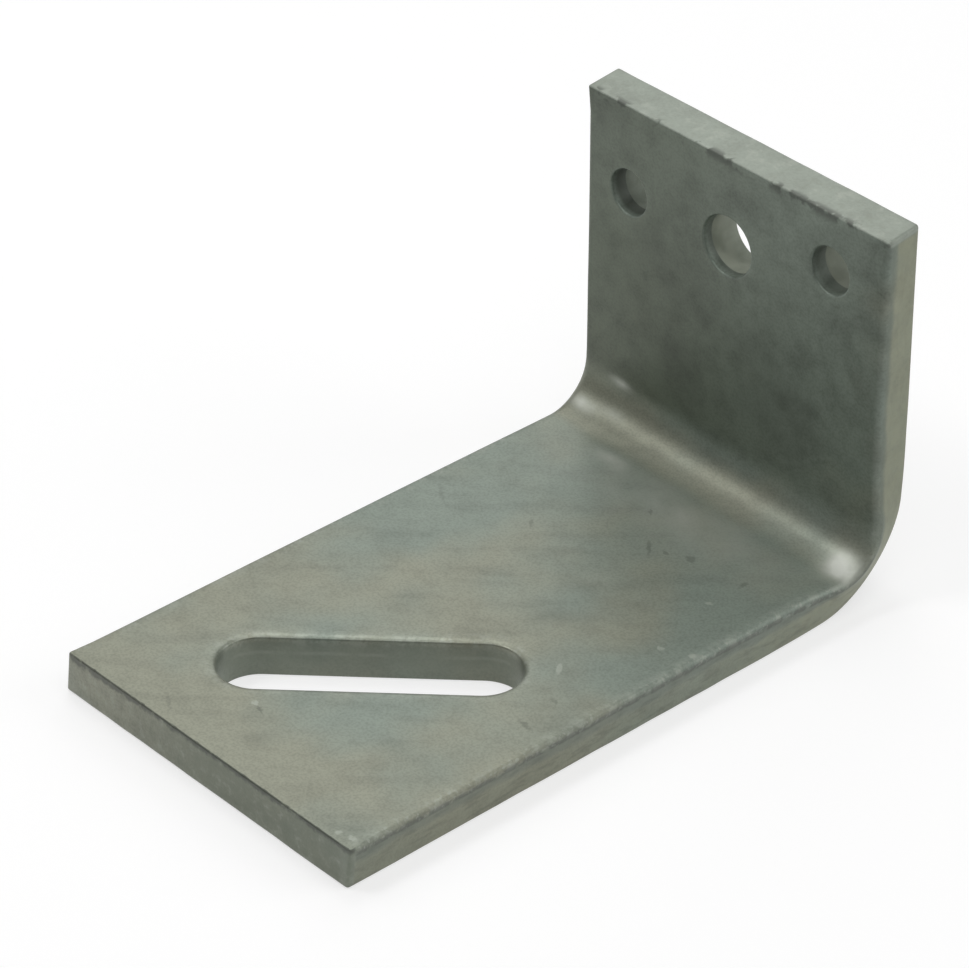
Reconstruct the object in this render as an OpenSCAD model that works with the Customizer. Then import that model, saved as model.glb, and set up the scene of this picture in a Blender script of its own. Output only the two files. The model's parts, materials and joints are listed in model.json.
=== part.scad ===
// Heavy angle anchor: a length of flat steel bar, sheared to size, punched and folded once to a right angle.
// The foot lies on the floor and points towards -Y. The upright stands at the +Y end, its back face to +Y.
// The origin is in the middle of the anchor's outline, at the height of the underside.

/* [Bar] */
// Width of the bar, measured at half its thickness
bar_width = 70; // [60:1:120]
// Thickness of the bar
bar_thickness = 8; // [6:0.5:10]
// Reach of the foot, from the back of the upright to the free end
foot_length = 122; // [110:1:200]
// Height of the upright, from the underside to its top end
upright_height = 70; // [62:1:120]
// Sideways lean of each sheared side through the thickness, towards +X at the inner face
side_lean = 1; // [0.2:0.1:1.4]
// Rounding of the bar's edges
edge_round = 0.6; // [0.2:0.1:1.2]

/* [Fold] */
// Radius at the inside of the fold
inside_radius = 8; // [5:0.5:12]
// Extra radius at the outside, where the stretched metal is thinner than in an even fold
outside_extra = 2; // [0.5:0.5:4]
// Swell of each side at the inside of the fold, where the metal is squeezed
fold_swell = 0.8; // [0.6:0.1:2]
// Draw-in of each side at the outside of the fold, where the metal is stretched
fold_draw = 0.8; // [0.6:0.1:2]

/* [Slot in the foot] */
// Width of the slot
slot_width = 14; // [8:0.5:18]
// Length of the slot over its round ends
slot_length = 50; // [30:1:56]
// Angle of the slot to the bar's width
slot_angle = 45; // [0:1:90]
// Distance of the slot's middle from the free end
slot_setback = 34; // [30:0.5:50]
// Offset of the slot's middle from the bar's centre line
slot_offset = 0.8; // [-3:0.1:3]
// Rounding of the slot's upper rim
slot_round = 1; // [0.2:0.1:1.5]
// Depth of the slot's smooth wall below the rounding
slot_wall = 4; // [1:0.5:4.5]

/* [Holes in the upright] */
// Diameter of the middle hole
middle_hole_d = 11; // [6:0.5:16]
// Diameter of the two outer holes
outer_hole_d = 8.5; // [5:0.5:12]
// Distance of the outer holes from the middle one, across the bar
hole_spacing = 23.5; // [18:0.5:25]
// Offset of the middle hole from the bar's centre line
hole_offset = -0.6; // [-2:0.1:2]
// Distance of the left and middle holes from the top end
hole_drop = 16.5; // [12:0.5:22]
// Height of the right hole above the other two
right_hole_rise = 5.8; // [0:0.1:6]
// Rounding of each hole's rim, on the side where the punch went in
hole_round = 0.6; // [0.2:0.1:1]
// Depth of each hole's smooth wall below the rounding
hole_wall = 3; // [1:0.5:4.5]

/* [Punching] */
// Growth of every hole's radius from the smooth wall to the far face, where the slug broke out
break_out = 0.25; // [0.05:0.05:0.6]

/* [Hidden] */
$fn = 96;
half_width = bar_width / 2;
back_y = foot_length / 2;
front_y = -foot_length / 2;
// The fold's axis runs along X at fold_y, as high as the radius of an even fold's outer face.
even_radius = inside_radius + bar_thickness;
outside_radius = even_radius + outside_extra;
fold_y = back_y - even_radius;
// Distance that a cut runs past the face that it opens
past = bar_thickness / 8;
// Depth of the swell's upper side below the inner face, so that the two meet within the edge's rounding
swell_skin = edge_round / 12;
// Distance of the draw-in's middle outside the fold, and the share of the thickness that it reaches into
draw_stand = 1.5 * bar_thickness;
draw_share = 0.4;

function unit(v) = v / norm(v);

// An outline of straight sides with round corners: each corner's circle touches both of its sides.
module rounded_outline(corners, r) {
    count = len(corners);
    function side(i) = unit(corners[(i + 1) % count] - corners[i % count]);
    function before(i) = side(i + count - 1);
    function half_angle(i) = acos(side(i) * -before(i)) / 2;
    function touch(i) = r / tan(half_angle(i));
    polygon([for (i = [0:count - 1], way = [-before(i), side(i)]) corners[i] + way * touch(i)]);
    for (i = [0:count - 1])
        translate(corners[i] + unit(side(i) - before(i)) * r / sin(half_angle(i))) circle(r);
}

// Cross-section of the bar: x across it, y from the outer face to the inner one.
module bar_section() {
    lean = side_lean / 2;
    rounded_outline([
        [-half_width - lean, 0],
        [half_width - lean, 0],
        [half_width + lean, bar_thickness],
        [-half_width + lean, bar_thickness],
    ], edge_round);
}

// The bar carried along the foot, round an even fold and up the upright.
module swept_bar() {
    translate([0, fold_y, 0]) rotate([90, 0, 0])
        linear_extrude(fold_y - front_y + past) bar_section();
    translate([0, fold_y, even_radius]) rotate([0, 90, 0])
        rotate_extrude(angle = 90) translate([even_radius, 0]) rotate(90) bar_section();
    translate([0, back_y, even_radius]) mirror([0, 1, 0])
        linear_extrude(upright_height - even_radius + past) bar_section();
}

// Side view of one leg: it runs along x and ends at x = 0 with round corners.
module leg_profile(length) {
    translate([-length, 0]) square([length - edge_round, bar_thickness]);
    translate([-length, edge_round]) square([length, bar_thickness - 2 * edge_round]);
    for (y = [edge_round, bar_thickness - edge_round])
        translate([-edge_round, y]) circle(edge_round);
}

// Side view of the anchor: both legs, the fillet inside the fold, and the outer corner taken off.
module anchor_profile() {
    difference() {
        union() {
            translate([front_y, 0]) mirror([1, 0]) leg_profile(foot_length);
            translate([back_y, upright_height]) rotate(90) leg_profile(upright_height);
            translate([fold_y, bar_thickness]) difference() {
                square(inside_radius + past);
                translate([0, inside_radius]) circle(inside_radius);
            }
        }
        translate([back_y - outside_radius, 0]) difference() {
            translate([0, -past]) square(outside_radius + past);
            translate([0, outside_radius]) circle(outside_radius);
        }
    }
}

// Carries a side view across the width of the bar, and past both of its sides.
module across_bar() {
    rotate([90, 0, 90]) linear_extrude(2 * bar_width, center = true) children();
}

// Side view of the open space inside the fold, grown by a skin into the metal.
module inside_space(skin) {
    translate([fold_y, even_radius]) {
        circle(inside_radius + skin);
        translate([-foot_length, -inside_radius - skin]) square([foot_length, upright_height]);
        translate([-foot_length, 0]) square([foot_length + inside_radius + skin, upright_height]);
    }
}

// A sphere whose seam faces along X, towards the side s: the surface opposite is smooth.
module turned_sphere(r, s) {
    rotate(90 - 90 * s) sphere(r);
}

// A low dome on each side, inside the fold. It rises from the middle of the side to the inner face.
module fold_swells() {
    rim = inside_radius + bar_thickness / 2;
    for (s = [-1, 1]) {
        rise = fold_swell + s * side_lean / 2;
        dome = (rim * rim - inside_radius * inside_radius) / (2 * rise);
        depth = sqrt(dome * dome - rim * rim);
        intersection() {
            translate([s * (half_width - depth), fold_y, even_radius]) turned_sphere(dome, -s);
            translate([s * half_width, 0, 0]) rotate([90, 0, 90])
                linear_extrude(bar_thickness, center = true) difference() {
                    inside_space(bar_thickness - 2 * past);
                    inside_space(swell_skin);
                }
        }
    }
}

// A shallow dish in each side, outside the fold. It sinks from near the middle of the side to the outer face.
module fold_draws() {
    rim = draw_stand + draw_share * bar_thickness;
    // The dish's middle lies on the fold's diagonal, this far along Y and Z from the sharp outer corner.
    away = draw_stand * sqrt(0.5) - outside_radius * (1 - sqrt(0.5));
    for (s = [-1, 1]) {
        fall = fold_draw + s * side_lean / 2;
        dish = (rim * rim - draw_stand * draw_stand) / (2 * fall);
        depth = sqrt(dish * dish - rim * rim);
        translate([s * (half_width + depth), back_y + away, -away]) turned_sphere(dish, s);
    }
}

// Half section of a punched cut, its middle at x = 0: the punch goes in at y = 0 and the slug leaves below.
module punch_section(r, rim, wall) {
    taper = bar_thickness - rim - wall;
    through = bar_thickness + past;
    far_r = r + break_out * (taper + past) / taper;
    translate([0, -past]) square([r + rim, past]);
    difference() {
        square([r + rim, rim]);
        translate([r + rim, rim]) circle(rim);
    }
    polygon([[0, 0], [r, 0], [r, rim + wall], [far_r, through], [0, through]]);
}

// A punched hole, cut downwards from the XY plane.
module punched_hole(d) {
    mirror([0, 0, 1]) rotate_extrude() punch_section(d / 2, hole_round, hole_wall);
}

// A punched slot along X, cut downwards from the XY plane.
module punched_slot() {
    straight = slot_length - slot_width;
    mirror([0, 0, 1]) {
        for (s = [-1, 1]) translate([s * straight / 2, 0, 0])
            rotate_extrude() punch_section(slot_width / 2, slot_round, slot_wall);
        rotate([90, 0, 90]) linear_extrude(straight, center = true)
            for (s = [0, 1]) mirror([s, 0]) punch_section(slot_width / 2, slot_round, slot_wall);
    }
}

module angle_anchor() {
    color("#8f958c") difference() {
        union() {
            intersection() {
                swept_bar();
                across_bar() anchor_profile();
            }
            fold_swells();
        }
        fold_draws();
        translate([slot_offset, front_y + slot_setback, bar_thickness]) rotate(slot_angle) punched_slot();
        for (i = [-1, 0, 1])
            translate([
                hole_offset + i * hole_spacing,
                back_y - bar_thickness,
                upright_height - hole_drop + (i > 0 ? right_hole_rise : 0),
            ]) rotate([90, 0, 0]) punched_hole(i == 0 ? middle_hole_d : outer_hole_d);
    }
}

angle_anchor();
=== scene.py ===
# %% [markdown]
# # A heavy angle anchor, from flat bar to finished picture
# The real anchor is one length of thick steel bar. It is sheared to size, punched, folded once to a right
# angle and dipped in molten zinc. This lesson makes it in the same order, because the marks of each step,
# such as the rolled rims, the torn lower walls and the swollen ends of the fold, are what make it look real.
# The packed solid gives the sizes and places, so it is loaded first and nothing has to be fitted afterwards.

# %% The shared frame
import json
import math

import bmesh
import bpy
import numpy as np
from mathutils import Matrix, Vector
from mathutils.geometry import delaunay_2d_cdt


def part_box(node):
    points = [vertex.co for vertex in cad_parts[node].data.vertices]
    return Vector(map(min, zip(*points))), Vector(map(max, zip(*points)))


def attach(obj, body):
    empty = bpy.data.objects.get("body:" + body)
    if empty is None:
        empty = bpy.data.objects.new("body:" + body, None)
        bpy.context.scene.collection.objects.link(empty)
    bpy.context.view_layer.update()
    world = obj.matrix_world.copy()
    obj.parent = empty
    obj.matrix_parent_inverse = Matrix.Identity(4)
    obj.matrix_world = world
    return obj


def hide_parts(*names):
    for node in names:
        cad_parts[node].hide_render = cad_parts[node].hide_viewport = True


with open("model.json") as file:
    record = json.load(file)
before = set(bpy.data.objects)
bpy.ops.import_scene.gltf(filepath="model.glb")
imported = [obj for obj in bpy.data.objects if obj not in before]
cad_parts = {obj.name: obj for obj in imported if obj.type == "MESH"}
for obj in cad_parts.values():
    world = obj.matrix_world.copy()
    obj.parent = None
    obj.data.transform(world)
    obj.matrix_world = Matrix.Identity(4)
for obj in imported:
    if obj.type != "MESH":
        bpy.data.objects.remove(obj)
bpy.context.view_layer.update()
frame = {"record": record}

mm = 0.001
low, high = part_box("angle_anchor")
mounts = {mount["name"]: mount for mount in frame["record"]["mounts"]}
print("The solid measures", [round(extent / mm, 2) for extent in high - low], "mm")
print("Its mounts are", sorted(mounts))

# %% [markdown]
# ## The camera
# The photograph was taken from above the free end's right corner with a long lens, so the edges run almost
# parallel. A camera that looks at one point from a given bearing, height and distance is easy to read and to
# change, and a long focal length keeps the perspective as gentle as it is in the photograph.

# %% The camera at the photograph's angle
image_width = 969
focal_pixels = 4751.5
camera_bearing = 47.9
camera_height = 33.89
camera_distance = 818.7 * mm
camera_target = Vector((-32.06, 27.53, 2.01)) * mm


def towards(bearing, height):
    """The direction of a bearing round the anchor and a height above the floor, both in degrees."""
    bearing, height = math.radians(bearing), math.radians(height)
    level = math.cos(height)
    return Vector((math.sin(bearing) * level, -math.cos(bearing) * level, math.sin(height)))


def aim(thing, target, bearing, height, distance):
    """Puts a lamp or a camera at a distance from a target and turns it to look there."""
    thing.location = target + towards(bearing, height) * distance
    thing.rotation_euler = towards(bearing, height).to_track_quat("Z", "Y").to_euler()
    bpy.context.scene.collection.objects.link(thing)


camera = bpy.data.objects.new("camera", bpy.data.cameras.new("camera"))
aim(camera, camera_target, camera_bearing, camera_height, camera_distance)
camera.data.sensor_fit = "HORIZONTAL"
camera.data.lens = camera.data.sensor_width * focal_pixels / image_width
bpy.context.scene.camera = camera
bpy.context.scene.view_settings.view_transform = "Standard"
print("The lens is", round(camera.data.lens, 1), "mm long")

# %% [markdown]
# ## Node maths as plain expressions
# A finish is built from many small sums, and a tree of Math nodes is hard to read. One small class wraps the
# output of a node, so that `1 - mask` or `tone * 0.2 + grain` adds the nodes for us. Its `node` method makes
# every other kind of node: it sets the node's own settings first, then the values or links of its sockets.
# The same class serves shaders and Geometry Nodes, because both use the same Math node.


# %% Wires that can be added and multiplied
class Wire:
    """An output socket of a node tree. Arithmetic on wires adds Math nodes to that tree."""

    def __init__(self, tree, socket=None):
        self.tree = tree
        self.socket = socket

    def node(self, kind, settings=None, sockets=None, output=0):
        """One of the outputs of a new node."""
        made = self.tree.nodes.new(kind)
        for name, value in (settings or {}).items():
            setattr(made, name, value)
        for name, value in (sockets or {}).items():
            if isinstance(value, Wire):
                self.tree.links.new(value.socket, made.inputs[name])
            else:
                made.inputs[name].default_value = value
        return Wire(self.tree, made.outputs[output] if made.outputs else None)

    def output(self, name):
        """Another output of the same node."""
        return Wire(self.tree, self.socket.node.outputs[name])

    def maths_on(self, operation, *values):
        """A Math node on these values."""
        return self.node("ShaderNodeMath", {"operation": operation}, dict(enumerate(values)))

    def maths(self, operation, *others):
        """A Math node on this wire, and on other values where the operation takes them."""
        return self.maths_on(operation, self, *others)

    def __add__(self, other):
        return self.maths("ADD", other)

    def __sub__(self, other):
        return self.maths("SUBTRACT", other)

    def __rsub__(self, other):
        return self.maths_on("SUBTRACT", other, self)

    def __mul__(self, other):
        return self.maths("MULTIPLY", other)

    def __truediv__(self, other):
        return self.maths("DIVIDE", other)

    def __rtruediv__(self, other):
        return self.maths_on("DIVIDE", other, self)

    def __pow__(self, other):
        return self.maths("POWER", other)

    __radd__ = __add__
    __rmul__ = __mul__

    def clamped(self, highest=1.0):
        """The value kept between 0 and the highest."""
        return self.node("ShaderNodeClamp", {}, {"Value": self, "Max": highest})

    def rise(self, start, end):
        """0 at start, 1 at end, with a soft rise between them, and level outside."""
        sockets = {"Value": self, "From Min": start, "From Max": end}
        return self.node("ShaderNodeMapRange", {"interpolation_type": "SMOOTHSTEP"}, sockets)

    def share(self, first, second):
        """The value this share of the way from first to second."""
        return first + (second - first) * self


print("Wires know", [name for name in vars(Wire) if not name.startswith("__")])

# %% [markdown]
# ## Floor and light
# The anchor lies on a pale floor that runs far out, so the floor fills the whole background. The background
# is white and the floor still shows the anchor's soft shadow: part of its brightness is ordinary reflected
# light, and the rest is a glow that only the camera and mirror-like rays see.

# %% The pale floor
floor_size = 12.0
floor_drop = 0.1 * mm
floor_tone = 0.42
floor_glow = 0.63
background_rays = ("Is Camera Ray", "Is Glossy Ray", "Is Transmission Ray")

bpy.ops.mesh.primitive_plane_add(size=floor_size, location=(0, 0, low.z - floor_drop))
floor = bpy.context.object
floor.name = "floor"
floor_paint = bpy.data.materials.new("pale floor")
floor_paint.use_nodes = True
floor_paint.node_tree.nodes.clear()
paint = Wire(floor_paint.node_tree)
path = paint.node("ShaderNodeLightPath")
seen = sum(path.output(ray) for ray in background_rays).clamped()
matt = paint.node("ShaderNodeBsdfDiffuse", {}, {"Color": (floor_tone, floor_tone, floor_tone, 1)})
glow = paint.node("ShaderNodeEmission", {}, {"Strength": seen * floor_glow})
lit = paint.node("ShaderNodeAddShader", {}, {0: matt, 1: glow})
paint.node("ShaderNodeOutputMaterial", {}, {"Surface": lit})
floor.data.materials.append(floor_paint)
print("The floor is", floor_size, "m wide")

# %% [markdown]
# The room itself is dim. A softbox stands behind the anchor on the left, where the flat faces mirror it to
# the camera, so the foot and the top end are the palest faces. Another, close by on the left, draws the pale
# line along the inside of the fold, and a third fills the sides from the right. What the upright and the
# upper half of the fold mirror lies low in front, and there the room stays dark. A softbox overhead lifts
# every face that looks up, and two smaller lamps beside it light the slot's rim and the right end of the
# fold. A lamp's brightness is written as a share of white, and its power follows from its area.

# %% The room and the lamps
room_light = 0.16
lights = {
    "back softbox": dict(bearing=225, height=38, distance=1.2, width=0.9, brightness=1.05),
    "left softbox": dict(bearing=297, height=44, distance=0.6, width=0.28, brightness=1.32),
    "right softbox": dict(bearing=132, height=28, distance=1.2, width=0.8, brightness=1.7),
    "overhead softbox": dict(bearing=80, height=70, distance=1.2, width=0.7, brightness=2.6),
    "rim lamp": dict(bearing=240, height=70, distance=1.1, width=0.4, brightness=3.4),
    "corner lamp": dict(bearing=322, height=59, distance=1.0, width=0.24, brightness=8.5),
}

world = bpy.data.worlds.new("dim room")
bpy.context.scene.world = world
world.use_nodes = True
world.node_tree.nodes.clear()
room = Wire(world.node_tree)
sky = room.node("ShaderNodeBackground", {}, {"Strength": room_light})
room.node("ShaderNodeOutputWorld", {}, {"Surface": sky})

for name, light in lights.items():
    lamp = bpy.data.objects.new(name, bpy.data.lights.new(name, "AREA"))
    lamp.data.size = light["width"]
    lamp.data.energy = light["brightness"] * math.pi * light["width"] ** 2
    lamp.visible_camera = False
    aim(lamp, Vector((0, 0, 0)), light["bearing"], light["height"], light["distance"])
    print(name, "has", round(lamp.data.energy, 2), "W")

# %% [markdown]
# ## The flat blank
# Before the fold the anchor is a flat bar with a slot and three holes. We draw it flat too: x runs across
# the bar, the second coordinate runs along it from the free end, and the third is the height in the
# thickness. The blank's length is what the two straight legs and the fold use up, the fold being measured
# half way between its short inner arc and its long outer one.

# %% The blank's sizes
thickness = 8 * mm
bar_width = 70 * mm
side_lean = 1 * mm
inside_radius = 8 * mm
outside_extra = 2 * mm

outside_radius = inside_radius + thickness + outside_extra
quarter = math.pi / 2
inner_run = quarter * inside_radius + 2 * outside_extra
fold_length = (inner_run + quarter * outside_radius) / 2
reach = high.y - low.y - outside_radius
fold_end = reach + fold_length
fold_middle = reach + fold_length / 2
blank_length = fold_end + high.z - outside_radius
print("The blank is", round(blank_length / mm, 1), "mm long, its fold", round(fold_length / mm, 1), "mm")

# %% [markdown]
# Every outline here, the bar's own rectangle, the slot and the round holes, runs round one, two or four
# centres at a fixed distance. One function therefore traces them all: an arc round each centre, and straight
# runs between the arcs. It also gives the direction that points away from the centres, which the walls need.

# %% Tracing an outline
arc_steps_least = 5


def trace(centres, radius, spacing):
    """Points of the outline that runs anticlockwise round some centres, and their outward directions."""
    points, outward = [], []
    count = len(centres)
    sweep = 2 * math.pi / count
    steps = max(arc_steps_least, math.ceil(radius * sweep / spacing))
    for i, centre in enumerate(centres):
        here, following = np.array(centre), np.array(centres[(i + 1) % count])
        arrival = here - np.array(centres[i - 1])
        start = math.atan2(arrival[1], arrival[0]) - quarter
        angles = start + sweep * np.arange(steps + (count > 1)) / steps
        arc = np.stack([np.cos(angles), np.sin(angles)], axis=1)
        points.append(here + radius * arc)
        outward.append(arc)
        run = math.dist(here, following)
        travelled = np.arange(spacing, run - spacing / 2, spacing)
        straight = points[-1][-1] + travelled[:, None] * (following - here) / max(run, spacing)
        points.append(straight)
        outward.append(np.repeat(arc[-1:], len(straight), axis=0))
    return np.concatenate(points), np.concatenate(outward)


edge_spacing = 0.5 * mm
corner_radius = 0.6 * mm
half = bar_width / 2 - corner_radius
far = blank_length - corner_radius
bar_centres = [(-half, corner_radius), (half, corner_radius), (half, far), (-half, far)]
bar_points, bar_outward = trace(bar_centres, corner_radius, edge_spacing)
print("The bar's outline has", len(bar_points), "points")

# %% [markdown]
# The holes were measured when the solid was packed, so their places and radii come from its mounts. Only the
# place has to be carried over to the flat blank: on the foot the distance from the free end stays as it is,
# and on the upright the height above the fold is counted on from the fold's end.

# %% The slot and the holes on the blank
slot_angle = math.radians(45)


def on_foot(place):
    return np.array((place[0], place[1] - low.y))


def on_upright(place):
    return np.array((place[0], place[2] - outside_radius + fold_end))


slot = mounts["slot"]["dims"]
slot_radius = slot["hole_r_mm"] * mm
slot_half = slot["slot_length_mm"] * mm / 2 - slot_radius
slot_way = np.array((math.cos(slot_angle), math.sin(slot_angle)))
slot_middle = on_foot(mounts["slot"]["pos_m"])
cuts = {"slot": ([slot_middle - slot_half * slot_way, slot_middle + slot_half * slot_way], slot_radius)}
for name in ("left_hole", "middle_hole", "right_hole"):
    cuts[name] = ([on_upright(mounts[name]["pos_m"])], mounts[name]["dims"]["r_mm"] * mm)
for name, (centres, radius) in cuts.items():
    middles = [np.round(centre / mm, 1).tolist() for centre in centres]
    print(name, "runs round", middles, "with radius", round(radius / mm, 2))

# %% [markdown]
# ## Rims and walls
# A shear or a punch first rolls the rim over, then cuts a smooth band of wall, and at last tears through, so
# the lower wall flares. The shape is the same all the way round a cut, so each wall is a stack of rows:
# every row repeats the outline, set back into the metal by its own amount and at its own height. The slot's
# punch drew the rim in over a wider band than its depth, so a punched rim may be a quarter of an oval.

# %% Rows from the inner face down to the outer face
rim_steps = np.linspace(0, quarter, 9)
oval_steps = np.linspace(0, quarter, 15)
lower_rim_steps = np.linspace(0, quarter, 4)
wall_steps = np.linspace(0, 1, 8)[1:-1]
smooth_steps = (0.67, 0.34, 0.03)
torn_steps = (0.92, 0.6, 0.3, 0.0)
burr_round = 0.15 * mm


def rounding_rows(upper, lower):
    """Set-back and height of each row of a sheared edge with these roundings above and below."""
    rows = [(upper * (1 - np.sin(a)), thickness - upper * (1 - np.cos(a))) for a in rim_steps]
    rows += [(0 * upper, thickness - upper + (lower + upper - thickness) * t) for t in wall_steps]
    rows += [(lower * (1 - np.cos(a)), lower * (1 - np.sin(a))) for a in lower_rim_steps]
    return rows


def punched_rows(rim_width, rim_depth, smooth_wall, flare):
    """The same for a punched cut: an oval rim, a smooth wall and a torn, flared one."""
    rows = [(rim_width * (1 - np.sin(a)), thickness - rim_depth * (1 - np.cos(a))) for a in oval_steps]
    torn = thickness - rim_depth - smooth_wall
    rows += [(0.0, torn + smooth_wall * t) for t in smooth_steps]
    rows += [(flare * (1 - t), burr_round + (torn - burr_round) * t) for t in torn_steps]
    for a in lower_rim_steps[1:]:
        rows.append((flare + burr_round * (1 - np.cos(a)), burr_round * (1 - np.sin(a))))
    return rows


slot_rows = punched_rows(rim_width=1.5 * mm, rim_depth=0.6 * mm, smooth_wall=4 * mm, flare=0.25 * mm)
hole_rows = punched_rows(rim_width=0.4 * mm, rim_depth=0.4 * mm, smooth_wall=3 * mm, flare=0.25 * mm)
print("A sheared edge has", len(rounding_rows(mm, mm)), "rows and a punched one", len(slot_rows))

# %% [markdown]
# The bar's own edges are less regular than a punched rim. They are crisp along the foot and at both ends,
# rounder on the upright and softest at the fold, where the squeezed metal swells. The shear left them
# uneven, with a nick here and there. So each point of the outline gets a rounding of its own, worked out
# from its place and a little chance.

# %% Uneven rounding along the bar's edges
foot_round = 0.7 * mm
upright_round = 1.4 * mm
end_round = 0.3 * mm
lower_round = 0.4 * mm
nick_depth = 0.4 * mm
corner_share = 0.25
corner_fade = 5 * mm
left_softness = 1.6 * mm
right_softness = 0.8 * mm
foot_spread = 14 * mm
upright_spread = 9 * mm
chance = np.random.default_rng(11)


def wander(count, knots):
    """A smooth random line round a closed loop, from 0 to 1."""
    values = chance.random(knots)
    return np.interp(np.arange(count) / count * knots, np.arange(knots + 1), np.append(values, values[0]))


count = len(bar_points)
bar_along = bar_points[:, 1]
from_fold = bar_along - fold_middle
softer = np.exp(-(from_fold / np.where(from_fold < 0, foot_spread, upright_spread)) ** 2)
softer *= np.where(bar_outward[:, 0] > 0, right_softness, left_softness)
from_end = np.minimum(bar_along, blank_length - bar_along)
faded = corner_share + (1 - corner_share) * np.clip(from_end / corner_fade, 0, 1)
on_side = bar_outward[:, 0] ** 2 * faded
nicks = nick_depth * wander(count, knots=480) ** 5 * (1 - on_side)
side_round = np.interp(bar_along, (reach, fold_end), (foot_round, upright_round))
uneven_round = side_round * (0.7 + 0.2 * wander(count, knots=40))
upper = end_round + nicks + on_side * (uneven_round + softer)
lower = lower_round * (0.8 + 0.4 * wander(count, knots=120))
print("The inner edge is rounded by", round(upper.min() / mm, 2), "to", round(upper.max() / mm, 2), "mm")

# %% [markdown]
# ## Building the mesh
# The walls are strips of four-sided faces. The two broad faces are filled by a triangulation that takes the
# rims as fixed edges and an even grid of points between them. The grid is finer along the fold, because only
# there does the mesh have to bend. The triangulation also covers the holes and the notches of the outline,
# so only the triangles that hang together with the grid are kept. Each point remembers its place on the flat
# blank and how far it lies on a cut wall, so that the finish can follow the metal round the fold.

# %% Walls
points, faces, on_wall, on_rim = [], [], [], []
rim_loops = {"inner": [], "outer": []}
face_skin = 0.02 * mm
wall_fade = 0.6 * mm
rim_fade_depth = 1.2 * mm
rim_fade_width = 2.5 * mm
cut_spacing = 0.45 * mm


def add_wall(loop, outward, rows, lean=0.0):
    """Adds a wall's rows and faces, and keeps its first and last row as rims of the two broad faces."""
    first = sum(len(part) for part in points)
    around = np.arange(len(loop))
    for set_back, height in rows:
        set_back = np.broadcast_to(set_back, len(loop))
        height = np.broadcast_to(height, len(loop))
        row = np.column_stack([loop - outward * set_back[:, None], height])
        row[:, 0] += lean * (height / thickness - 0.5)
        points.append(row)
        off_faces = np.minimum(height, thickness - height)
        on_wall.append(np.clip(1 - set_back / wall_fade, 0, 1) * (off_faces > face_skin))
        below_face = (thickness - height) / rim_fade_depth
        on_rim.append(np.exp(-below_face ** 2) * np.clip(1 - set_back / rim_fade_width, 0, 1))
    pairs = list(zip(around, np.roll(around, -1)))
    for k in range(len(rows) - 1):
        above, below = first + k * len(loop), first + (k + 1) * len(loop)
        faces.extend((above + i, below + i, below + j, above + j) for i, j in pairs)
    rim_loops["inner"].append(around + first)
    rim_loops["outer"].append(around + first + (len(rows) - 1) * len(loop))


add_wall(bar_points, bar_outward, rounding_rows(upper, lower), side_lean)
for name, (centres, radius) in cuts.items():
    loop, outward = trace(centres, radius, cut_spacing)
    add_wall(loop, -outward, slot_rows if name == "slot" else hole_rows)
print("The walls have", len(faces), "faces")

# %% The grid between the rims
grid_step = 1.3 * mm
fold_step = 0.8 * mm
foot_lines = np.arange(grid_step, reach - fold_step, grid_step)
fold_lines = np.arange(reach - fold_step, fold_end + fold_step, fold_step)
upright_lines = np.arange(fold_lines[-1] + grid_step, blank_length - grid_step / 2, grid_step)
lines = np.concatenate([foot_lines, fold_lines, upright_lines])
columns = np.linspace(-half + grid_step, half - grid_step, int(bar_width / grid_step))
grid = np.stack(np.meshgrid(columns, lines), axis=-1).reshape(-1, 2)


def inside(loop, plan):
    """Whether each point lies inside a loop: a line from it to the right then crosses the loop an odd
    number of times."""
    (x0, y0), (x1, y1) = loop.T, np.roll(loop, -1, axis=0).T
    px, py = plan[:, :1], plan[:, 1:]
    passes = (y0 <= py) != (y1 <= py)
    with np.errstate(divide="ignore", invalid="ignore"):
        crossing = x0 + (py - y0) * (x1 - x0) / (y1 - y0)
    return (passes & (px < crossing)).sum(axis=1) % 2 == 1


def on_metal(rims, plan):
    """Whether each point lies inside the bar's own rim and outside the rims of the cuts."""
    bar_rim, *cut_rims = rims
    solid = inside(bar_rim, plan)
    for rim in cut_rims:
        solid &= ~inside(rim, plan)
    return solid


print("The grid has", len(grid), "points")


# %% Triangles that hang together
def edges_of(triangle):
    a, b, c = triangle
    return [frozenset(pair) for pair in ((a, b), (b, c), (c, a))]


def joined(triangles, starts, barriers):
    """The triangles that can be reached from the starting ones without crossing a barrier."""
    beside = {}
    for triangle in triangles:
        for edge in edges_of(triangle):
            beside.setdefault(edge, []).append(triangle)
    reached, waiting = set(starts), list(starts)
    while waiting:
        open_ways = [edge for edge in edges_of(waiting.pop()) if edge not in barriers]
        found = {triangle for edge in open_ways for triangle in beside[edge]} - reached
        reached |= found
        waiting += found
    return [triangle for triangle in triangles if triangle in reached]


pair = [(0, 1, 2), (2, 1, 3)]
print("From one of two neighbours,", len(joined(pair, pair[:1], set())), "triangles are reached")

# %% Broad faces
rim_clearance = 0.7 * mm
merge_distance = 1e-7


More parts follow.
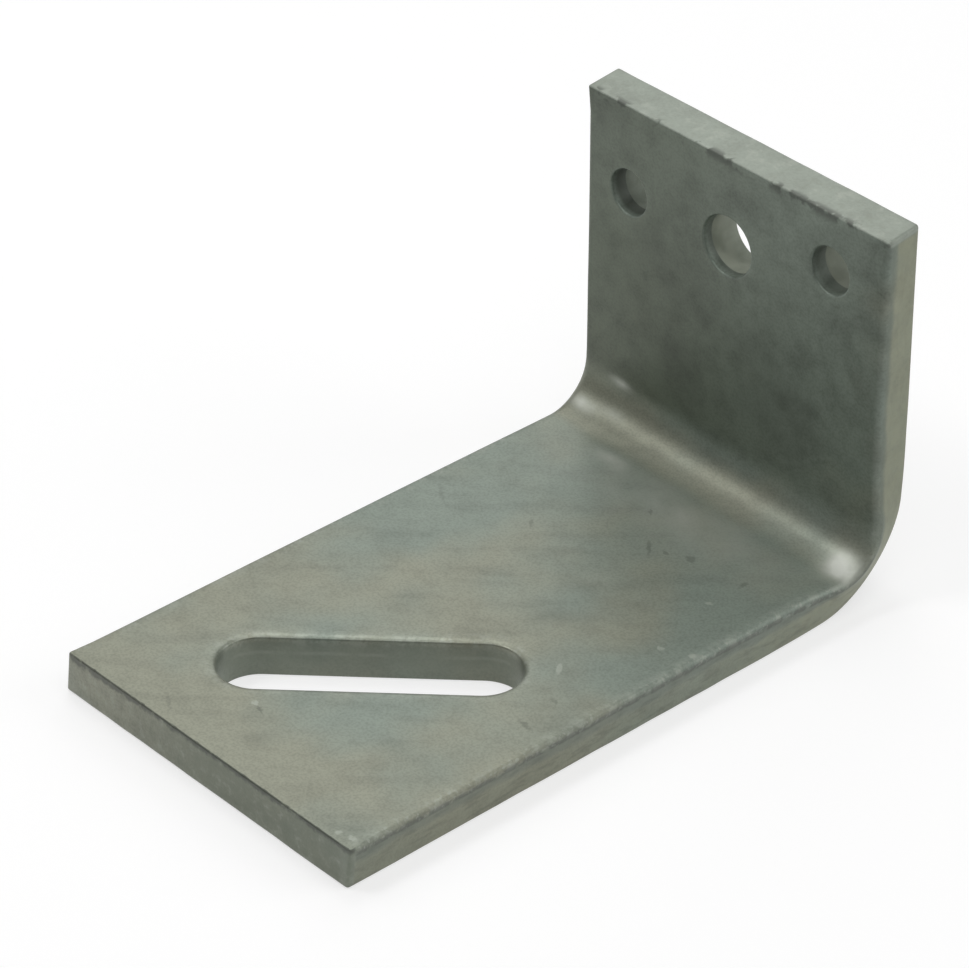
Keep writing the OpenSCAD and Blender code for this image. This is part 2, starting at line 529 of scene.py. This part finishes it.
def fill(face, height):
    """Triangulates one broad face between its rims and says how many triangles that took."""
    placed = np.concatenate(points)
    loops = rim_loops[face]
    rims = [placed[loop, :2] for loop in loops]
    rim_spots = np.concatenate(rims)
    nearest = np.array([np.linalg.norm(rim_spots - spot, axis=1).min() for spot in grid])
    between = grid[(nearest > rim_clearance) & on_metal(rims, grid)]
    ends = np.cumsum([0] + [len(rim) for rim in rims]).tolist()
    rim_edges = []
    for start, end in zip(ends, ends[1:]):
        rim_edges += [(i, i + 1) for i in range(start, end - 1)] + [(end - 1, start)]
    spots = [Vector(spot) for spot in np.concatenate([rim_spots, between]) / mm]
    _, _, found, origins, _, _ = delaunay_2d_cdt(spots, rim_edges, [], 0, merge_distance)
    triangles = [tuple(origins[i][0] for i in corners) for corners in found]
    at_grid = [triangle for triangle in triangles if max(triangle) >= len(rim_spots)]
    kept = joined(triangles, at_grid, {frozenset(edge) for edge in rim_edges})
    number = np.concatenate(loops + [len(placed) + np.arange(len(between))])
    faces.extend(map(tuple, number[np.array(kept)].tolist()))
    points.append(np.column_stack([between, np.full(len(between), height)]))
    on_wall.append(np.zeros(len(between)))
    on_rim.append(np.zeros(len(between)))
    return len(kept)


for face, height in (("inner", thickness), ("outer", 0.0)):
    print("The", face, "face has", fill(face, height), "triangles")

# %% [markdown]
# Handling and dipping left smudges on the real anchor, and each has its own place. The pale ovals on the
# fold are painted highlights, and the broad pale one at the back of the foot is painted light. They are too
# few to follow a rule, so they are listed one by one as soft ovals on the flat blank: the place of the
# middle, half the length and width, all in millimetres, the turn in degrees, and a strength that is above
# zero where the zinc is darker. The mesh's points remember their sum.

# %% Smudges, pale patches, painted light and painted highlights
foot_smudges_and_light = [
    (12.5, 80, 5, 1.3, 45, 0.4),
    (7.5, 74, 3.5, 1.6, 45, 0.3),
    (12, 66.5, 5, 2.4, 45, 0.35),
    (4, 8.5, 4, 1.2, 45, 0.3),
    (9, 78, 4, 1.5, 45, -0.25),
    # painted light: this broad pale oval lifts the back of the foot next to the fold, where the upright
    # shades it
    (4, 101, 24, 8, 0, -0.38),
    (-16, 104, 4.5, 2, 0, -0.4),
]
# painted highlights: the pale ends of the fold's highlight line, a pale patch above its left end and the hot
# spot at its right end
fold_highlights = [
    (-30.5, 113.5, 3, 2, 0, -0.7),
    (-24, 115, 3, 1.6, 0, -0.35),
    (32, 111, 3.0, 3.8, 0, -1.15),
    (-25, 122.5, 2.2, 1.2, 0, -0.8),
]
upright_smudges = [
    (-12, 135, 5, 5, 0, 0.5),
    (13, 136, 9, 8, 0, 0.55),
    (9.5, 145, 1.5, 1.5, 0, 0.7),
    (-5.5, 146, 2.2, 1.6, 0, 0.45),
    (-16, 152, 10, 3, -50, 0.35),
    (-5, 152, 9, 2.5, -50, 0.25),
    (-31, 173, 1.5, 2.5, 0, 0.5),
]
flat = np.concatenate(points)
smudges_and_highlights = np.zeros(len(flat))
for *middle, length, width, turn, strength in foot_smudges_and_light + fold_highlights + upright_smudges:
    way = np.array((math.cos(math.radians(turn)), math.sin(math.radians(turn))))
    offset = flat[:, :2] / mm - middle
    lengthwise = offset @ way / length
    crosswise = offset @ (-way[1], way[0]) / width
    smudges_and_highlights += strength * np.exp(-lengthwise ** 2 - crosswise ** 2) * (flat[:, 2] > thickness / 2)
print("The smudges' strength runs from", round(smudges_and_highlights.min(), 2), "to", round(smudges_and_highlights.max(), 2))

# %% [markdown]
# All rows and triangles now become one mesh. Its normals are turned outwards, and a count of the open edges
# shows whether any seam was missed. What the points remember is kept as attributes, which stay with them
# through the fold.

# %% The blank as one closed mesh
blank_mesh = bpy.data.meshes.new("angle_anchor_dressed")
blank_mesh.from_pydata(flat.tolist(), [], faces)
blank_mesh.attributes.new("flat", "FLOAT_VECTOR", "POINT").data.foreach_set("vector", flat.ravel())
remembered = {"sheared": np.concatenate(on_wall), "rolled": np.concatenate(on_rim), "smudge": smudges_and_highlights}
for name, values in remembered.items():
    blank_mesh.attributes.new(name, "FLOAT", "POINT").data.foreach_set("value", values)
shaping = bmesh.new()
shaping.from_mesh(blank_mesh)
bmesh.ops.recalc_face_normals(shaping, faces=shaping.faces)
open_edges = sum(not edge.is_manifold for edge in shaping.edges)
for face in shaping.faces:
    face.smooth = True
shaping.to_mesh(blank_mesh)
shaping.free()
anchor = bpy.data.objects.new("angle_anchor_dressed", blank_mesh)
bpy.context.scene.collection.objects.link(anchor)
print("The blank has", len(flat), "points,", len(faces), "faces and", open_edges, "open edges")

# %% [markdown]
# ## The fold
# A press brake lays the foot flat and turns the rest of the bar up round its nose. The rule is simple enough
# for Geometry Nodes: a point's distance along the bar says how far round the fold it lies, and its height in
# the thickness says how far it lies between the outer arc and the inner one. The two arcs have centres of
# their own, because stretched metal is thinner at the outside. At the ends of the fold the squeezed inside
# swells sideways and the stretched outside draws in, and at the right end the inside also sags a little.
# Some unevenness keeps the faces from being too flat.

# %% The tree that folds the bar
galvanised = bpy.data.materials.new("galvanised steel")
fold_sizes = {
    "Front": low.y,
    "Reach": reach,
    "Fold Length": fold_length,
    "Thickness": thickness,
    "Inside Radius": inside_radius,
    "Outside Extra": outside_extra,
    "Half Width": bar_width / 2,
    "Swell": 1.1 * mm,
    "Draw": 0.9 * mm,
    "Swell Width": 16 * mm,
    "Swell Spread": 11 * mm,
    "Sag": 1.2 * mm,
    "Sag Width": 10 * mm,
    "Unevenness": 0.10 * mm,
    "Uneven Size": 28 * mm,
    "Seed": 3.0,
}
fold_tree = bpy.data.node_groups.new("fold the bar", "GeometryNodeTree")
fold_tree.interface.new_socket("Geometry", in_out="OUTPUT", socket_type="NodeSocketGeometry")
fold_tree.interface.new_socket("Geometry", in_out="INPUT", socket_type="NodeSocketGeometry")
for name in fold_sizes:
    fold_tree.interface.new_socket(name, in_out="INPUT", socket_type="NodeSocketFloat")
fold_tree.interface.new_socket("Finish", in_out="INPUT", socket_type="NodeSocketMaterial")

press = Wire(fold_tree)
given = press.node("NodeGroupInput")
size = {name: given.output(name) for name in fold_sizes}
unbent = press.node("GeometryNodeInputPosition")
unbent_split = press.node("ShaderNodeSeparateXYZ", {}, {0: unbent})
x, along, lift = (unbent_split.output(axis) for axis in "XYZ")
print("The fold has", len(fold_sizes), "named sizes")

# %% The rule of the fold
inward = lift / size["Thickness"]
turned = ((along - size["Reach"]) / size["Fold Length"]).clamped()
outer_radius = size["Inside Radius"] + size["Thickness"] + size["Outside Extra"]
outer_angle = turned * quarter
outer_y = outer_radius * outer_angle.maths("SINE")
outer_z = outer_radius * (1 - outer_angle.maths("COSINE"))
inner_travel = turned * (size["Inside Radius"] * quarter + size["Outside Extra"] * 2)
inner_lead = inner_travel.maths("MINIMUM", size["Outside Extra"])
past_lead = (inner_travel - size["Outside Extra"]) / size["Inside Radius"]
inner_angle = past_lead.clamped(quarter)
inner_tail = ((past_lead - quarter) * size["Inside Radius"]).maths("MAXIMUM", 0.0)
inner_y = inner_lead + size["Inside Radius"] * inner_angle.maths("SINE")
inner_z = size["Thickness"] + size["Inside Radius"] * (1 - inner_angle.maths("COSINE")) + inner_tail
print("The inner arc starts", round(outside_extra / mm, 1), "mm after the outer one")

# %% Swell, sag and unevenness
near_side = x.maths("ABSOLUTE").rise(size["Half Width"] - size["Swell Width"], size["Half Width"])
from_middle = (along - size["Reach"] - size["Fold Length"] / 2) / size["Swell Spread"]
near_fold = (from_middle * from_middle * -1).maths("EXPONENT")
sideways = x.maths("SIGN") * near_side * near_fold * inward.share(size["Draw"] * -1, size["Swell"])
right_end = ((x - size["Half Width"]) / size["Sag Width"] + 1).clamped()
sag = right_end ** 3.0 * near_fold * inward * size["Sag"]
ripple_sockets = {"Vector": unbent, "W": size["Seed"], "Scale": 1 / size["Uneven Size"], "Detail": 2.0}
ripple = press.node("ShaderNodeTexNoise", {"noise_dimensions": "4D"}, ripple_sockets)
shifted = inward + ((ripple - 0.5) * size["Unevenness"] - sag) / size["Thickness"]
print("The inside swells by", round(fold_sizes["Swell"] / mm, 1), "mm at each end of the fold")

# %% The folded place and the finish
foot_run = along.maths("MINIMUM", size["Reach"])
climb = (along - size["Reach"] - size["Fold Length"]).maths("MAXIMUM", 0.0)
folded = press.node("ShaderNodeCombineXYZ", {}, {
    "X": x + sideways,
    "Y": size["Front"] + foot_run + shifted.share(outer_y, inner_y),
    "Z": shifted.share(outer_z, inner_z) + climb,
})
bent = press.node("GeometryNodeSetPosition", {}, {"Geometry": given.output("Geometry"), "Position": folded})
real = press.node("GeometryNodeRealizeInstances", {}, {"Geometry": bent})
coated = press.node("GeometryNodeSetMaterial", {}, {"Geometry": real, "Material": given.output("Finish")})
press.node("NodeGroupOutput", {}, {"Geometry": coated})
print("The tree has", len(fold_tree.nodes), "nodes")

# %% [markdown]
# The modifier gets its sizes through the identifiers of the tree's sockets, because two sockets may share a
# name. Its result is then copied into a plain mesh, so that nothing has to be worked out again later.

# %% Folding the blank
modifier = anchor.modifiers.new("fold", "NODES")
modifier.node_group = fold_tree
for item in fold_tree.interface.items_tree:
    if item.in_out == "INPUT" and item.name in fold_sizes:
        modifier[item.identifier] = fold_sizes[item.name]
    elif item.in_out == "INPUT" and item.name == "Finish":
        modifier[item.identifier] = galvanised
graph = bpy.context.evaluated_depsgraph_get()
folded_mesh = bpy.data.meshes.new_from_object(
    anchor.evaluated_get(graph), preserve_all_data_layers=True, depsgraph=graph)
anchor.modifiers.clear()
anchor.data = folded_mesh
bpy.data.meshes.remove(blank_mesh)
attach(anchor, "root")
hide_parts("angle_anchor")
triangle_count = sum(len(face.vertices) - 2 for face in folded_mesh.polygons)
print("The folded anchor has", triangle_count, "triangles and", [a.name for a in folded_mesh.attributes])

# %% [markdown]
# ## The zinc
# Hot-dip zinc is part bright metal and part dull grey oxide, so the finish stands between a metal and a
# plain paint: about half of what we see is blurred reflection. The coat is never even. Broad soft patches
# lean towards olive or towards blue, smaller blotches differ in gloss, and a fine grain lies over all. Noise
# textures give all three, read in the flat blank's coordinates so that the pattern runs round the fold with
# the metal. The places along the blank also tell the foot, the upright, the sides and the two ends apart.

# %% Where each point lies
galvanised.use_nodes = True
galvanised.node_tree.nodes.clear()
zinc = Wire(galvanised.node_tree)
end_band = 1.5 * mm


def recalled(name, output="Fac"):
    """What the mesh's points remember under this name."""
    return zinc.node("ShaderNodeAttribute", {"attribute_name": name}, output=output)


blank_place = recalled("flat", "Vector")
sheared, rolled, smudge = (recalled(name) for name in remembered)
blank_split = zinc.node("ShaderNodeSeparateXYZ", {}, {0: blank_place})
across, length_place = blank_split.output("X"), blank_split.output("Y")
from_centre = across.maths("ABSOLUTE")
level = blank_split.output("Z") / thickness
free_end = length_place.rise(end_band, end_band / 2)
top_end = length_place.rise(blank_length - end_band, blank_length - end_band / 2)
not_end = 1 - free_end - top_end
upright = length_place.rise(fold_middle, fold_end)
flank = from_centre.rise(bar_width / 2 - 2 * end_band, bar_width / 2 - end_band)
print("The masks have", len(galvanised.node_tree.nodes), "nodes")


# %% Blotches and colours
def cloud(blotch, detail=2.0, roughness=0.5, swirl=0.0, place=blank_place):
    """Soft random blotches of about this size, from 0 to 1."""
    return zinc.node("ShaderNodeTexNoise", {}, {
        "Vector": place,
        "Scale": 1 / blotch,
        "Detail": detail,
        "Roughness": roughness,
        "Distortion": swirl,
    })


def mix(share, first, second):
    """A colour between two others."""
    return zinc.node("ShaderNodeMix", {"data_type": "RGBA"}, {0: share, 6: first, 7: second}, output=2)


olive = (0.316, 0.326, 0.252, 1)
bluish = (0.268, 0.316, 0.268, 1)
patches = cloud(26 * mm)
blotches = cloud(6 * mm, detail=3.0, roughness=0.6)
scuffs = cloud(2.4 * mm, detail=3.0, roughness=0.7)
grain = cloud(0.45 * mm, detail=1.0)
rubbed_fold = length_place.rise(105 * mm, 110 * mm) * length_place.rise(122 * mm, 115 * mm)
blue_lean = (patches + length_place * 2.0 - rubbed_fold * 0.15).rise(0.46, 0.78)
colour = mix(blue_lean, olive, bluish)
print("The coat has", len(galvanised.node_tree.nodes), "nodes so far")

# %% [markdown]
# ## Smudges, mottling and painted shade
# The upright's inner face is painted darker, most of all towards its left side and less near its top:
# painted shade.
# On the foot the coat ran in faint smears along the slot's direction: a Mapping node turns the coordinates
# and draws them out, so that round blotches become long ones. The smudges that were placed on the blank
# darken the coat, the pale patches and painted highlights brighten it, and the blotches break up their
# edges.

# %% Painted shade on the upright and mottled coat
# dull grey zinc for the holes and scuffs, and also the tone of the painted shade on the upright and the free
# end
dull_and_shade_tone = (0.154, 0.180, 0.133, 1)
soot = (0.070, 0.077, 0.064, 1)


def drawn_out(slant, times):
    """Places on the blank for a pattern that is drawn out this many times along a slant in degrees."""
    sockets = {"Vector": blank_place, "Rotation": (0, 0, math.radians(slant)), "Scale": (times, 1, 1)}
    return zinc.node("ShaderNodeMapping", {"vector_type": "TEXTURE"}, sockets)


# painted shade: the upright's inner face is darkened, most towards its left side and less near its top
painted_upright_shade = upright * (1 - sheared) * across.rise(26 * mm, -22 * mm).share(0.12, 0.90)
colour = mix(painted_upright_shade * length_place.rise(145 * mm, 172 * mm).share(1.0, 0.75), colour, dull_and_shade_tone)
smears = cloud(4 * mm, detail=3.0, place=drawn_out(45, 4)).rise(0.45, 0.75) * (1 - upright) * 0.14
mottling = smears + blotches.rise(0.38, 0.80) * upright.share(0.13, 0.26)
mottling = mottling + scuffs.rise(0.40, 0.75) * 0.06 + grain.rise(0.35, 0.75) * 0.20
drainage = cloud(12 * mm, detail=3.0, swirl=2.0).rise(0.42, 0.68) * upright * 0.15
colour = mix(mottling + drainage, colour, soot)
print("The mottled coat has", len(galvanised.node_tree.nodes), "nodes so far")

# %% Dark smudges, pale patches and painted highlights
pale = (0.455, 0.485, 0.420, 1)
bright = (0.700, 0.715, 0.660, 1)
broken_up = smudge * blotches.share(0.2, 1.8)
colour = mix(broken_up.clamped() * 0.6, colour, soot)
# the pale patches on the foot and the painted highlights on the fold
pale_patch_and_highlight = (broken_up * -1).clamped()
colour = mix(pale_patch_and_highlight * 0.85, colour, pale)
# painted highlight: the strongest pale ovals, chiefly the fold's hot spot, are turned almost white
colour = mix(pale_patch_and_highlight ** 2.0 * 0.75, colour, bright)
print("The smudges have", len(galvanised.node_tree.nodes), "nodes so far")

# %% [markdown]
# ## Sheared sides
# On a sheared side the blade leaves two bands. Near the inner face the wall is rubbed smooth and stays
# darker, and below it the metal tore, which leaves a paler, matt band. The border wanders softly along the
# bar, and thin streaks follow it. Just under the rolled edge runs a broken dark line, and the edge itself
# carries pale specks: partly zinc rubbed by handling, partly painted glints of light on the rounding.

# %% Bands along the sides
rubbed = (0.178, 0.206, 0.164, 1)
torn_tone = (0.370, 0.385, 0.284, 1)
wandering = cloud(9 * mm) - 0.5
sides = sheared * flank * not_end
below_rim = level.rise(0.92, 0.80)
behind = length_place.rise(70 * mm, 112 * mm)
torn = (level + wandering * 0.35 - behind * 0.12).rise(0.72, 0.50)
colour = mix(sides * torn * behind.share(0.42, 1.0) * scuffs.share(1.2, 0.4), colour, torn_tone)
colour = mix(sides * (1 - torn) * below_rim * 0.65, colour, rubbed)
print("The bands have", len(galvanised.node_tree.nodes), "nodes so far")

# %% Streaks, a dark line under the edge, and pale specks with painted glints
# dark tone for the streaks on the sides and for the painted shade in the holes
streak_and_shade = (0.095, 0.106, 0.088, 1)
lengthwise_place = zinc.node("ShaderNodeMapping", {}, {"Vector": blank_place, "Scale": (1, 0.28, 1)})
streaks = cloud(1.3 * mm, detail=3.0, roughness=0.6, place=lengthwise_place)
colour = mix(sides * streaks.rise(0.46, 0.70) * upright.share(0.32, 0.08), colour, streak_and_shade)
under_edge_level = level + wandering * 0.08
# a broken dark line just under the rolled edge
under_edge_line = under_edge_level.rise(0.76, 0.82) * under_edge_level.rise(0.94, 0.89) * scuffs.rise(0.36, 0.54) * (1 - upright)
colour = mix(sides * under_edge_line * 0.65, colour, soot)
# pale specks on the rolled edge: partly rubbed zinc, partly painted glints of light
specks_and_glints = cloud(0.9 * mm).rise(0.57, 0.66)
colour = mix(rolled * flank * not_end * specks_and_glints * upright.share(0.5, 0.1), colour, pale)
print("The sides have", len(galvanised.node_tree.nodes), "nodes so far")

# %% [markdown]
# ## Slot and holes
# In the punched holes the border between the smooth wall and the torn one is crisp, and it lies deeper in
# the small holes than in the middle one, because a small punch holds the metal longer. The smooth wall is
# painted dark, a painted shade that is strongest in the left hole, and the torn wall is painted pale, partly
# the torn zinc's own colour and partly painted light from behind. The slot's wall was rubbed over its whole
# depth, with only a faint pale line where the tear began. Its rim rolled over softly, and the rolled rims of
# the foot are painted pale in specks: a painted highlight.

# %% Walls of the holes
torn_zinc_and_light = (0.405, 0.435, 0.355, 1)
punched = sheared * (1 - flank) * not_end
hole_wall = punched * upright
border = from_centre.rise(8 * mm, 10 * mm).share(0.76, 0.58)
broken = (border - level).rise(-0.015, 0.015)
torn_and_light_share = across.rise(-24 * mm, -8 * mm).share(0.45, 1.0)
hole_shade_share = across.rise(-22 * mm, -10 * mm).share(0.8, 0.5)
# the torn wall: torn zinc painted paler as painted light from behind, less in the left hole
colour = mix(hole_wall * broken * torn_and_light_share, colour, torn_zinc_and_light)
# the smooth wall under the rim: painted shade, darkest in the left hole
colour = mix(hole_wall * (1 - broken) * below_rim * hole_shade_share, colour, streak_and_shade)
colour = mix(hole_wall * broken * blotches.rise(0.35, 0.65) * 0.5, colour, dull_and_shade_tone)
print("The holes have", len(galvanised.node_tree.nodes), "nodes so far")

# %% Wall of the slot and painted highlight on the rims
slot_wall = punched * (1 - upright) * below_rim
colour = mix(slot_wall * scuffs.share(0.9, 0.3), colour, rubbed)
slot_level = level + wandering * 0.10
slot_line = slot_level.rise(0.52, 0.58) * slot_level.rise(0.66, 0.60) * blotches.rise(0.40, 0.60)
colour = mix(slot_wall * slot_line * 0.15, colour, pale)
# painted highlight: the rolled rims of the foot and the slot are painted pale in specks
painted_rim_highlight = rolled * not_end * (1 - upright) * scuffs.rise(0.44, 0.62)
colour = mix(painted_rim_highlight * 0.45, colour, pale)
print("The slot has", len(galvanised.node_tree.nodes), "nodes so far")

# %% [markdown]
# ## Cropped ends, nicks and scratches
# The two ends were cropped in one stroke and show scuffs. The free end is painted darker towards the right,
# a painted shade, with a faint painted highlight at its two corners, and the top end, which faces up, is
# painted paler, a painted highlight. A dark ragged line runs along the free end's upper edge, and the top
# end's inner edge is nicked here and there. Handling adds short dark scratches and pale flecks, scattered
# thinly over the broad faces. A Voronoi texture scatters them: each cell may hold one mark at its middle,
# and a cell that is drawn out makes it long.

# %% Ends and nicks
cropped = sheared * (1 - not_end)
# painted shade: the free end darkened towards its right
colour = mix(cropped * free_end * across.rise(-26 * mm, 4 * mm) * 0.65, colour, dull_and_shade_tone)
colour = mix(cropped * scuffs.rise(0.52, 0.75) * 0.45, colour, dull_and_shade_tone)
# pale scuffs on both ends, and the top end painted paler all over: a painted highlight
colour = mix(cropped * (scuffs.rise(0.50, 0.25) * 0.3 + top_end * 0.44), colour, pale)
ragged = cloud(2.2 * mm, detail=3.0, roughness=0.65)
# a dark ragged line along the free end's upper edge
upper_edge_line = (level + (ragged - 0.5) * 0.30 + across.rise(-8 * mm, -34 * mm) * 0.06).rise(0.84, 0.96)
colour = mix(sheared.rise(0.1, 0.6) * free_end * upper_edge_line * ragged.rise(0.25, 0.50) * 0.75, colour, soot)
# faint painted highlight at the free end's two corners
colour = mix(sheared * free_end * flank * 0.12, colour, pale)
nick_reach = length_place.rise(blank_length - 2.2 * mm, blank_length - 0.5 * mm) * level.rise(0.80, 0.96)
colour = mix(nick_reach * cloud(3.2 * mm, detail=3.0).rise(0.50, 0.60) * 0.7, colour, soot)
print("The ends have", len(galvanised.node_tree.nodes), "nodes so far")


# %% Scattered marks
def marks(cell, slant, width, chosen):
    """Thinly scattered short marks: one in some of the cells of this size, turned by slant."""
    cells = zinc.node("ShaderNodeTexVoronoi", {}, {"Vector": drawn_out(slant, 3), "Scale": 1 / cell})
    lot = zinc.node("ShaderNodeSeparateColor", {}, {0: cells.output("Color")})
    return cells.rise(width, width / 2) * lot.maths("LESS_THAN", chosen)


scratches = marks(9 * mm, slant=35, width=0.05, chosen=0.4) * scuffs.rise(0.42, 0.55)
chips = marks(13 * mm, slant=-50, width=0.05, chosen=0.3)
colour = mix((1 - sheared) * scratches * 0.5, colour, soot)
colour = mix((1 - sheared) * chips * 0.5, colour, pale)
print("The marks have", len(galvanised.node_tree.nodes), "nodes so far")

# %% [markdown]
# Some flecks on the real anchor are plain enough to have places of their own. They are listed like the
# smudges, but they are smaller than the mesh's grid, so the shader draws them: a Mapping node lays each oval
# on a circle of radius 1, and the distance from its middle makes the mask. A fine noise shakes the places
# first, so that the ovals are ragged.

# %% Flecks with places of their own
dark_flecks = [
    (-28.5, 75.5, 3.2, 0.5, -35, 0.30),
    (-11.5, 80.5, 1.5, 0.4, -42, 0.45),
    (-0.4, 97.7, 1.2, 0.3, -43, 0.5),
    (7.1, 90.1, 2.4, 0.35, -43, 0.6),
    (10.1, 91.2, 0.8, 0.35, -8, 0.6),
    (14.1, 93, 1.1, 0.8, 0, 0.55),
    (25.4, 94.2, 1, 0.5, 95, 0.6),
    (-1.7, 13, 1, 0.35, -21, 0.8),
    (29.5, 41.5, 1.9, 0.4, -7, 0.6),
    (28, 49.2, 1, 0.35, -20, 0.5),
    (-13.5, 3.7, 2.8, 0.35, -31, 0.35),
]
pale_flecks = [
    (25.2, 86.3, 0.8, 0.4, 37, 0.8),
    (29, 71.7, 0.7, 0.45, 5, 0.9),
    (-3.5, 13.6, 0.7, 0.4, -18, 0.9),
    (30.5, 1.7, 0.6, 0.5, 0, 0.8),
    (33.2, 2.3, 0.9, 0.6, 0, 0.9),
    (34, 74, 0.7, 0.6, 0, 1.0),
]
fleck_strength = 0.6
fleck_depth = 2 * mm
shake_size = 0.8 * mm
shake_reach = 1.2 * mm


def vector_maths(operation, *values, **sockets):
    """A Vector Math node on some vectors."""
    return zinc.node("ShaderNodeVectorMath", {"operation": operation}, dict(enumerate(values)) | sockets)


shake_sockets = {"Vector": blank_place, "Scale": 1 / shake_size, "Detail": 1.0}
shake = zinc.node("ShaderNodeTexNoise", {}, shake_sockets, output="Color")
shift = vector_maths("SCALE", vector_maths("SUBTRACT", shake, (0.5, 0.5, 0.5)), Scale=shake_reach)
shaken_place = vector_maths("ADD", blank_place, shift)


def fleck(x, along, length, width, turn):
    """A ragged oval on the inner face, from 0 outside it to 1 at its middle."""
    local = zinc.node("ShaderNodeMapping", {"vector_type": "TEXTURE"}, {
        "Vector": shaken_place,
        "Location": (x * mm, along * mm, thickness),
        "Rotation": (0, 0, math.radians(turn)),
        "Scale": (length * mm, width * mm, fleck_depth),
    })
    return vector_maths("LENGTH", local).output("Value").rise(1.3, 0.5)


for flecks, tone in ((dark_flecks, soot), (pale_flecks, pale)):
    for *oval, strength in flecks:
        colour = mix(fleck(*oval) * strength * fleck_strength, colour, tone)
print("The flecks bring the finish to", len(galvanised.node_tree.nodes), "nodes")

# %% [markdown]
# ## Gloss and relief
# The zinc's gloss changes from blotch to blotch. The slot's rolled rim is the smoothest, the upright and the
# bar's own edges are duller, and the torn walls are the roughest. A shallow bump carries the grain of the
# coat. All that changes over the surface goes to the base colour, the metallic share, the roughness and the
# bump, which a baked texture can hold.

# %% The finished shader
metal_share = 0.45
coarse = sides * torn + hole_wall * broken
roughness = blotches.share(0.34, 0.48) + upright * 0.10 + coarse * 0.15
roughness = roughness + rolled * flank.share(-0.05, 0.12) + pale_patch_and_highlight.rise(0.3, 1.0) * 0.05
relief = zinc.node("ShaderNodeBump", {}, {
    "Height": blotches * 0.5 + grain * 0.25 + sheared * scuffs * 0.5,
    "Strength": 0.35,
    "Distance": 0.12 * mm,
})
surface = zinc.node("ShaderNodeBsdfPrincipled", {}, {
    "Base Color": colour,
    "Metallic": metal_share * (1 - hole_wall * broken * 0.8),
    "Roughness": roughness,
    "Normal": relief,
})
zinc.node("ShaderNodeOutputMaterial", {}, {"Surface": surface})
print("The finish has", len(galvanised.node_tree.nodes), "nodes")
